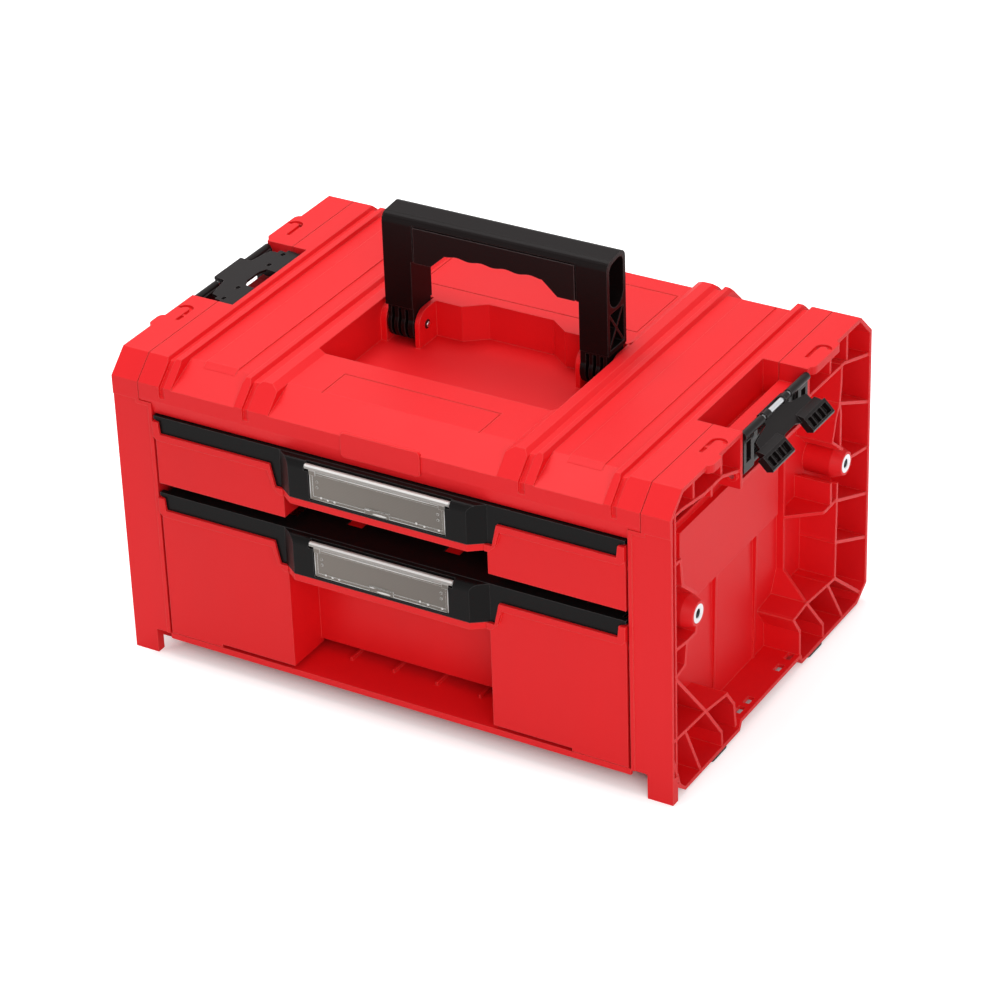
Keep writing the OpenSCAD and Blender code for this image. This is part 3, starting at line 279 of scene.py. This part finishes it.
def clear_plastic(name, top):
    """Smoky sheet, ruled label behind it, bright above z = top - ROLL_HEIGHT and along its edges.

    pale = 0.30 * smoothstep(z - (top - ROLL_HEIGHT)) + 0.9 * (near z = top - 0.8 mm) + edge mask; the last
    two are painted highlights tone = (1.14 .. 0.86 from the left end to the right end, painted shading) * (1
    + 0.06 * ruling of 1.2 mm)
    """
    made = bpy.data.materials.new(name)
    made.use_nodes = True
    tree = made.node_tree
    link = tree.links.new
    shader = tree.nodes["Principled BSDF"]
    shader.inputs["IOR"].default_value = 1.58
    shader.inputs["Specular IOR Level"].default_value = 0.30
    place = node(tree, "ShaderNodeTexCoord", (-1600, 0))
    apart = node(tree, "ShaderNodeSeparateXYZ", (-1400, 200))
    above = node(tree, "ShaderNodeMapRange", (-1000, 200), interpolation_type="SMOOTHSTEP",
                 From_Min=top - ROLL_HEIGHT - 0.0002, From_Max=top - ROLL_HEIGHT + 0.0002, To_Max=0.30)
    off_line = node(tree, "ShaderNodeMath", (-1200, 0), operation="SUBTRACT")
    off_line.inputs[1].default_value = top - 0.0008
    apart_line = node(tree, "ShaderNodeMath", (-1050, 0), operation="ABSOLUTE")
    # A painted highlight line along the top of the roll.
    roll_highlight = node(tree, "ShaderNodeMapRange", (-900, 0), interpolation_type="SMOOTHSTEP",
                From_Min=0.0003, From_Max=0.0008, To_Min=0.9, To_Max=0.0)
    # The edge mask paints highlights on the edges of the sheet.
    edge = node(tree, "ShaderNodeGroup", (-1000, 450), node_tree=SOFT_EDGE)
    edge.inputs["Radius"].default_value = 0.0006
    edge.inputs["Gain"].default_value = 6.0
    lit = node(tree, "ShaderNodeMath", (-700, 200), operation="ADD")
    pale = node(tree, "ShaderNodeMath", (-500, 300), operation="ADD", use_clamp=True)
    # Painted shading: lighter at the left end, darker at the right one.
    painted_shading = node(tree, "ShaderNodeMapRange", (-1000, -250), From_Min=MID_X - WINDOW_HALF,
                From_Max=MID_X + WINDOW_HALF, To_Min=1.14, To_Max=0.86)
    ruling = node(tree, "ShaderNodeTexWave", (-1000, -500), bands_direction="Z", Scale=262.0, Distortion=0.6)
    ruled = node(tree, "ShaderNodeMapRange", (-750, -450), To_Min=0.94, To_Max=1.06)
    tone = node(tree, "ShaderNodeMath", (-550, -300), operation="MULTIPLY")
    sheet = node(tree, "ShaderNodeMix", (-400, -100), data_type="RGBA", blend_type="MULTIPLY")
    sheet.inputs["Factor"].default_value = 1.0
    sheet.inputs["A"].default_value = SMOKE
    tint = node(tree, "ShaderNodeMix", (-250, 250), data_type="RGBA")
    tint.inputs["B"].default_value = BRIGHT
    cover = node(tree, "ShaderNodeMapRange", (-250, -300), To_Min=0.86, To_Max=0.96)
    scuff = node(tree, "ShaderNodeTexNoise", (-700, -700), Scale=60.0, Detail=5.0)
    rough = node(tree, "ShaderNodeMapRange", (-250, 50), To_Min=0.06, To_Max=0.20)
    link(place.outputs["Object"], apart.inputs["Vector"])
    link(apart.outputs["Z"], above.inputs["Value"])
    link(apart.outputs["Z"], off_line.inputs[0])
    link(off_line.outputs[0], apart_line.inputs[0])
    link(apart_line.outputs[0], roll_highlight.inputs["Value"])
    link(above.outputs["Result"], lit.inputs[0])
    link(roll_highlight.outputs["Result"], lit.inputs[1])
    link(lit.outputs[0], pale.inputs[0])
    link(edge.outputs["Edge"], pale.inputs[1])
    link(apart.outputs["X"], painted_shading.inputs["Value"])
    link(place.outputs["Object"], ruling.inputs["Vector"])
    link(ruling.outputs["Fac"], ruled.inputs["Value"])
    link(painted_shading.outputs["Result"], tone.inputs[0])
    link(ruled.outputs["Result"], tone.inputs[1])
    link(tone.outputs[0], sheet.inputs["B"])
    link(sheet.outputs["Result"], tint.inputs["A"])
    link(pale.outputs[0], tint.inputs["Factor"])
    link(tint.outputs["Result"], shader.inputs["Base Color"])
    link(pale.outputs[0], cover.inputs["Value"])
    link(cover.outputs["Result"], shader.inputs["Alpha"])
    link(place.outputs["Object"], scuff.inputs["Vector"])
    link(scuff.outputs["Fac"], rough.inputs["Value"])
    link(rough.outputs["Result"], shader.inputs["Roughness"])
    link(edge.outputs["Normal"], shader.inputs["Normal"])
    return made


upper_clear = clear_plastic("clear window, upper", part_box("upper_label_window")[1][2])
lower_clear = clear_plastic("clear window, lower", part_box("lower_label_window")[1][2])
print("window finishes:", upper_clear.name, lower_clear.name)

# %% [markdown]
# **Trim.** Where clear plastic is thick, at beads, studs and the clasp, it gathers light and turns almost
# white. The same recipe as for the other plastics gives that, with a pale colour and a polished face.

# %% Trim finishes
clear_trim = plastic("clear trim", (0.72, 0.71, 0.69), (0.92, 0.92, 0.90), 0.12, radius=0.0003, shine=0.6,
                     gain=4.0)
# A dark ring of painted shade stands in for the shadow inside the pin's bore.
bore_shade_ring = plastic("painted bore shade", (0.05, 0.004, 0.006), (0.10, 0.01, 0.012), 0.55, radius=0.0003, shine=0.2)
print("finishes:", len(bpy.data.materials))

# %% [markdown]
# ## Dressing the mechanical model
# Every node of the frame keeps its own mesh and only gets a better material. The table names the
# finish of each one.

# %% Finish of each node
FINISH = {
    shell_red: ["left_side_frame", "right_side_frame", "top_cover", "badge_plate", "base_floor",
                "back_panel"],
    drawer_red: ["upper_drawer_tray", "lower_drawer_tray"],
    pull_black: ["upper_drawer_pull", "lower_drawer_pull"],
    handle_black: ["handle_shell"],
    latch_black: ["left_latch_link", "right_latch_link", "left_latch_plate", "right_latch_plate"],
    grip_black: ["handle_grip"],
    foot_rubber: ["rubber_feet"],
    steel_x: ["left_sleeves", "right_sleeves", "left_handle_pin", "right_handle_pin"],
    steel_y: ["left_latch_rod", "right_latch_rod", "left_link_pins", "right_link_pins"],
    steel_z: ["base_screws", "cover_screws"],
    upper_clear: ["upper_label_window"],
    lower_clear: ["lower_label_window"],
}
for finish, names in FINISH.items():
    for name in names:
        slots = nodes[name].data.materials
        slots.clear()
        slots.append(finish)
print("dressed:", sum(len(names) for names in FINISH.values()), "of", len(nodes))

# %% [markdown]
# ## Small raised forms
# A bead, a stud and a pin head are one shape: an oval dome on a flat face. It is a grid of rings that
# shrink towards the top while they rise on a quarter ellipse, and numpy writes all its points at once.

# %% Oval dome
def dome(centre, half_a, half_b, height, across, up, out, rings=6, sides=28):
    """Points centre + s_i (half_a cos t across + half_b sin t up) + height sqrt(1 - s_i^2) out, and faces.

    s_i runs from 1 to 0 as cos(pi i / (2 rings)). The rows are rings, the last one is the tip, and one
    flat face closes the foot.
    """
    s = np.cos(0.5 * np.pi * np.arange(rings + 1) / rings)[:, None, None]
    t = (2.0 * np.pi * np.arange(sides) / sides)[None, :, None]
    across, up, out = (np.asarray(axis, float) for axis in (across, up, out))
    grid = np.asarray(centre, float) + s * (half_a * np.cos(t) * across + half_b * np.sin(t) * up) \
        + height * np.sqrt(1.0 - s * s) * out
    points = np.concatenate([grid[:-1].reshape(-1, 3), grid[-1, :1]])
    row, col = np.meshgrid(np.arange(rings - 1), np.arange(sides), indexing="ij")
    here, after = row * sides + col, row * sides + (col + 1) % sides
    quads = np.stack([here, after, after + sides, here + sides], axis=-1).reshape(-1, 4)
    rim = (rings - 1) * sides + np.arange(sides)
    caps = np.stack([rim, np.roll(rim, -1), np.full(sides, len(points) - 1)], axis=-1)
    return points, (quads, caps, np.arange(sides)[None, ::-1])


def solid_of(name, domes, finish, body):
    """One object from a list of domes, shaded smooth, that rides on the body and takes the slot's finish."""
    starts = np.cumsum([0] + [len(points) for points, _ in domes])
    faces = [face for start, (_, blocks) in zip(starts, domes) for block in blocks
             for face in (block + start).tolist()]
    mesh = bpy.data.meshes.new(name)
    mesh.from_pydata(np.concatenate([points for points, _ in domes]).tolist(), [], faces)
    mesh.shade_smooth()
    mesh.materials.append(finish)
    made = bpy.data.objects.new(name, mesh)
    bpy.context.scene.collection.objects.link(made)
    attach(made, body)
    return made


# %% [markdown]
# **Window trim.** A bead runs under the hinge roll, thin beads close the two ends, and the clasp is a
# long bar at the bottom. Small studs on both sides of it hold the paper strip down.

# %% Window trim
SHEET_INSET = 0.00092
STUDS_MM = ((-46.0, 2.9), (-40.5, 2.4), (-35.0, 2.4), (31.5, 3.2), (38.0, 2.6), (49.5, 2.6))


def window_trim(which):
    """Beads, clasp and studs on the front face of one label window, as oval domes that point to -Y.

    The front of the roll is the front of the node's box, and the sheet lies SHEET_INSET behind it.
    """
    low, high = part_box(which + "_label_window")
    face_y = low[1] + SHEET_INSET
    clasp_y = face_y - 0.0005
    foot, top = low[2], high[2]
    flat = dict(across=(1, 0, 0), up=(0, 0, 1), out=(0, -1, 0))
    parts = [
        dome((MID_X, face_y, top - 0.0050), WINDOW_HALF - 0.001, 0.00050, 0.0006, **flat),
        dome((MID_X, face_y, foot + 0.0004), WINDOW_HALF - 0.001, 0.00030, 0.0004, **flat),
        dome((MID_X + WINDOW_HALF - 0.0005, face_y, foot + 0.0105), 0.00045, 0.0102, 0.0005, **flat),
        dome((MID_X - WINDOW_HALF + 0.0005, face_y, foot + 0.0105), 0.00035, 0.0102, 0.0004, **flat),
        dome((MID_X + 0.0020, clasp_y, foot + 0.0016), 0.0062, 0.00085, 0.00035, **flat),
        dome((MID_X - 0.0075, clasp_y, foot + 0.0038), 0.0024, 0.00050, 0.0003, **flat),
    ]
    parts += [dome((MID_X + along / 1000, face_y, foot + above / 1000), 0.0010, 0.0009, 0.0006, **flat)
              for along, above in STUDS_MM]
    return solid_of(which + "_window_trim", parts, clear_trim, which + "_window")


for which in ("upper", "lower"):
    print("trim:", window_trim(which).name)

# %% [markdown]
# ** Pin heads.** Each handle pin ends in a shallow bore on the inner face of its ear. The shade in the bore is
# painted as a dark ring, with the bright domed end of the pin in it.

# %% Pin heads
PIN_STANDS_OUT = 0.0008


def pin_head(side, end, inward):
    """A dark ring of radius 3.6 mm and a steel dome of radius 2.2 mm on the inner face of one ear.

    end is the pin's inner end in X. The ear's face lies PIN_STANDS_OUT behind it, away from inward.
    """
    low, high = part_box(side + "_handle_pin")
    on_ear = np.array([end - inward * PIN_STANDS_OUT, 0.5 * (low[1] + high[1]), 0.5 * (low[2] + high[2])])
    on_pin = np.array([end, on_ear[1], on_ear[2]])
    turned = dict(across=(0, inward, 0), up=(0, 0, 1), out=(inward, 0, 0))
    # The dark ring is painted shade of the bore.
    solid_of(side + "_bore_shade_ring", [dome(on_ear, 0.0036, 0.0036, 0.0009, **turned)], bore_shade_ring, "case")
    return solid_of(side + "_pin_head", [dome(on_pin, 0.0022, 0.0022, 0.0009, **turned)], steel_x, "case")


pin_head("left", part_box("left_handle_pin")[1][0], 1.0)
pin_head("right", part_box("right_handle_pin")[0][0], -1.0)

# %% [markdown]
# ## Studio
# The box stands on a white table in a white room. The floor glows a little for the camera, so that it
# reads as white paper, except under the box, where the dark contact shadow stays.

# %% Rays that see the white room
def sees_room(tree):
    """Socket that is 1 for camera, glossy and transmission rays and 0 for the rays that light the box."""
    rays = node(tree, "ShaderNodeLightPath", (-1000, 400))
    first = node(tree, "ShaderNodeMath", (-800, 400), operation="MAXIMUM")
    second = node(tree, "ShaderNodeMath", (-600, 400), operation="MAXIMUM")
    tree.links.new(rays.outputs["Is Camera Ray"], first.inputs[0])
    tree.links.new(rays.outputs["Is Glossy Ray"], first.inputs[1])
    tree.links.new(first.outputs[0], second.inputs[0])
    tree.links.new(rays.outputs["Is Transmission Ray"], second.inputs[1])
    return second.outputs[0]


# %% Floor
def studio_floor():
    """A wide plane at Z = 0, big enough to fill the view."""
    reach = 6.0
    mesh = bpy.data.meshes.new("studio_floor")
    mesh.from_pydata([(-reach, -reach, 0), (reach, -reach, 0), (reach, reach, 0), (-reach, reach, 0)], [],
                     [(0, 1, 2, 3)])
    made = bpy.data.objects.new("studio_floor", mesh)
    bpy.context.scene.collection.objects.link(made)
    paper = bpy.data.materials.new("floor white")
    paper.use_nodes = True
    tree = paper.node_tree
    shader = tree.nodes["Principled BSDF"]
    shader.inputs["Base Color"].default_value = (0.86, 0.86, 0.86, 1.0)
    shader.inputs["Roughness"].default_value = 0.9
    glow = node(tree, "ShaderNodeMath", (-200, 200), operation="MULTIPLY")
    glow.inputs[1].default_value = 0.60
    link = tree.links.new
    link(sees_room(tree), glow.inputs[0])
    place = node(tree, "ShaderNodeTexCoord", (-1400, -200))
    inside = node(tree, "ShaderNodeVectorMath", (-1200, -200), operation="ABSOLUTE")
    extent = node(tree, "ShaderNodeSeparateXYZ", (-1000, -200))
    beside_x = node(tree, "ShaderNodeMapRange", (-800, -100), interpolation_type="SMOOTHSTEP",
                    From_Min=0.195, From_Max=0.225)
    beside_y = node(tree, "ShaderNodeMapRange", (-800, -350), interpolation_type="SMOOTHSTEP",
                    From_Min=0.120, From_Max=0.165)
    outside = node(tree, "ShaderNodeMath", (-600, -200), operation="MAXIMUM")
    masked = node(tree, "ShaderNodeMath", (-50, 100), operation="MULTIPLY")
    link(place.outputs["Object"], inside.inputs[0])
    link(inside.outputs["Vector"], extent.inputs["Vector"])
    link(extent.outputs["X"], beside_x.inputs["Value"])
    link(extent.outputs["Y"], beside_y.inputs["Value"])
    link(beside_x.outputs["Result"], outside.inputs[0])
    link(beside_y.outputs["Result"], outside.inputs[1])
    link(glow.outputs[0], masked.inputs[0])
    link(outside.outputs[0], masked.inputs[1])
    shader.inputs["Emission Color"].default_value = (1.0, 1.0, 1.0, 1.0)
    link(masked.outputs[0], shader.inputs["Emission Strength"])
    mesh.materials.append(paper)
    return made


print("floor:", studio_floor().name)

# %% [markdown]
# **World.** An even white room fills every shadow a little, at less than half strength for the rays that
# light the box. The camera and the reflections see it at full strength, as white.

# %% World
def white_room():
    """Even light from all round, and pure white where the camera or a reflection sees past the floor."""
    world = bpy.data.worlds.new("white room")
    world.use_nodes = True
    tree = world.node_tree
    strength = node(tree, "ShaderNodeMapRange", (-300, 0), To_Min=0.42, To_Max=1.0)
    tree.links.new(sees_room(tree), strength.inputs["Value"])
    tree.nodes["Background"].inputs["Color"].default_value = (1.0, 1.0, 1.0, 1.0)
    tree.links.new(strength.outputs["Result"], tree.nodes["Background"].inputs["Strength"])
    return world


bpy.context.scene.world = white_room()
print("world:", bpy.context.scene.world.name)

# %% [markdown]
# **Lights.** Four softboxes, because shiny plastic shows the shape of what lights it, and a big soft lamp
# leaves a calm, even sheen. The one over the lid stands a little behind it, so that its reflection falls
# on the flat top and not on the sloping front. The one right of the camera lights the drawer fronts and
# the ribbed side and leaves the finger recess in half shade. The other two only lift the dark corners.

# %% Lights
def softbox(name, place, aim, size, power):
    """Square area lamp at place, turned so that its -Z axis points at aim."""
    lamp = bpy.data.lights.new(name, "AREA")
    lamp.size = size
    lamp.energy = power
    made = bpy.data.objects.new(name, lamp)
    made.location = place
    made.rotation_euler = (Vector(aim) - Vector(place)).to_track_quat("-Z", "Y").to_euler()
    bpy.context.scene.collection.objects.link(made)
    return made


softbox("softbox over the lid", (-0.5, 0.3, 2.4), (0, 0, 0.1), 1.8, 42)
softbox("softbox right of the camera", (1.9, -1.9, 1.3), (0, 0, 0.15), 1.3, 24)
softbox("softbox at the right side", (2.2, -0.4, 1.0), (0, 0, 0.15), 1.4, 1)
softbox("softbox at the left front", (-0.9, -2.2, 0.9), (0, 0, 0.15), 1.6, 3)
print("lamps:", len(bpy.data.lights))

# %% [markdown]
# ## Camera
# The camera stands where the photograph was taken from. Its axes are written as three unit vectors, which
# become the columns of its matrix.

# %% Camera
def photo_camera():
    """Pose matrix with columns right, up, back, and the standpoint as its last column."""
    right = (0.86452746, 0.50167694, -0.03020805)
    up = (-0.22984569, 0.44810803, 0.86392717)
    back = (0.44694881, -0.73994557, 0.50270997)
    stand = (1.22832, -2.04315, 1.49573)
    lens = bpy.data.cameras.new("photo camera")
    lens.sensor_width = 36.0
    lens.lens = 136.06
    lens.clip_end = 50.0
    made = bpy.data.objects.new("photo camera", lens)
    columns = Matrix((right, up, back)).transposed()
    made.matrix_world = Matrix.Translation(Vector(stand)) @ columns.to_4x4()
    bpy.context.scene.collection.objects.link(made)
    return made


bpy.context.scene.camera = photo_camera()
bpy.context.scene.view_settings.view_transform = "Standard"
print("lens: %.1f mm" % bpy.context.scene.camera.data.lens)
